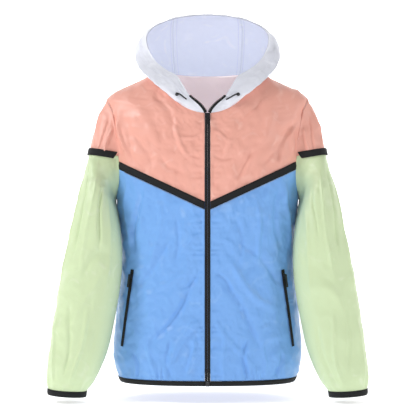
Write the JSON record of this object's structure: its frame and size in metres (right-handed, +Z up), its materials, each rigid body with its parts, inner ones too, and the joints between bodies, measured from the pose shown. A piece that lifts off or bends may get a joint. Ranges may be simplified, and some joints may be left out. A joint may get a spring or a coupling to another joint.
{
  "type": "hooded windbreaker jacket",
  "caption": "Worn-shape hooded windbreaker: coral yoke, blue body, lime sleeves, white hood, black tapes, full front zip, zipped side pockets.",
  "frame": {"origin": "middle of the neck base, between the shoulder seams, where the wearer's shoulders carry the jacket", "axes": "+Z up, -Y out of the front zip, +X to the side of the garment on the right when the front is looked at"},
  "size_m": [0.6974, 0.3259, 0.8482],
  "materials": {
    "coral_nylon": "satin",
    "blue_nylon": "satin",
    "lime_nylon": "satin",
    "white_nylon": "satin",
    "black_tape": "matte",
    "black_cord": "matte",
    "black_metal": "satin"
  },
  "bodies": {
    "jacket": {"back": "blue_nylon", "back_tape": "black_tape", "back_yoke": "coral_nylon", "chevron_tape_left": "black_tape", "chevron_tape_right": "black_tape", "cord_left": "black_cord", "cord_right": "black_cord", "cuff_binding_left": "black_tape", "cuff_binding_right": "black_tape", "eyelet_left": "black_metal", "eyelet_right": "black_metal", "front_left": "blue_nylon", "front_right": "blue_nylon", "front_yoke_left": "coral_nylon", "front_yoke_right": "coral_nylon", "hem_binding_back": "black_tape", "hem_binding_left": "black_tape", "hem_binding_right": "black_tape", "hood_centre": "white_nylon", "hood_channel": "white_nylon", "hood_left": "white_nylon", "hood_right": "white_nylon", "neck_tape": "white_nylon", "pocket_left_slider": "black_metal", "pocket_right_slider": "black_metal", "pocket_zip_left": "black_tape", "pocket_zip_right": "black_tape", "sleeve_cap_left": "coral_nylon", "sleeve_cap_right": "coral_nylon", "sleeve_left": "lime_nylon", "sleeve_right": "lime_nylon", "sleeve_tape_left": "black_tape", "sleeve_tape_right": "black_tape", "zip_box": "black_metal", "zip_slider": "black_metal", "zip_tape_left": "black_tape", "zip_tape_right": "black_tape", "zip_top_left": "black_tape", "zip_top_right": "black_tape"},
    "pocket_left_pull": {"pocket_left_pull": "black_metal"},
    "pocket_right_pull": {"pocket_right_pull": "black_metal"},
    "zip_pull": {"zip_pull": "black_metal"}
  },
  "joints": [
    {"name": "pocket_left_tab_hinge", "type": "hinge", "parent": "jacket", "child": "pocket_left_pull", "pos_m": [-0.16832, -0.08596, -0.43916], "axis": [-0.7219, 0.6735, 0.1591], "range_deg": [0, 150]},
    {"name": "pocket_right_tab_hinge", "type": "hinge", "parent": "jacket", "child": "pocket_right_pull", "pos_m": [0.16832, -0.08596, -0.43916], "axis": [-0.7219, -0.6735, -0.1591], "range_deg": [0, 150]},
    {"name": "zip_tab_hinge", "type": "hinge", "parent": "jacket", "child": "zip_pull", "pos_m": [0, -0.09777, -0.09248], "axis": [-1, 0, 0], "range_deg": [0, 150]}
  ]
}
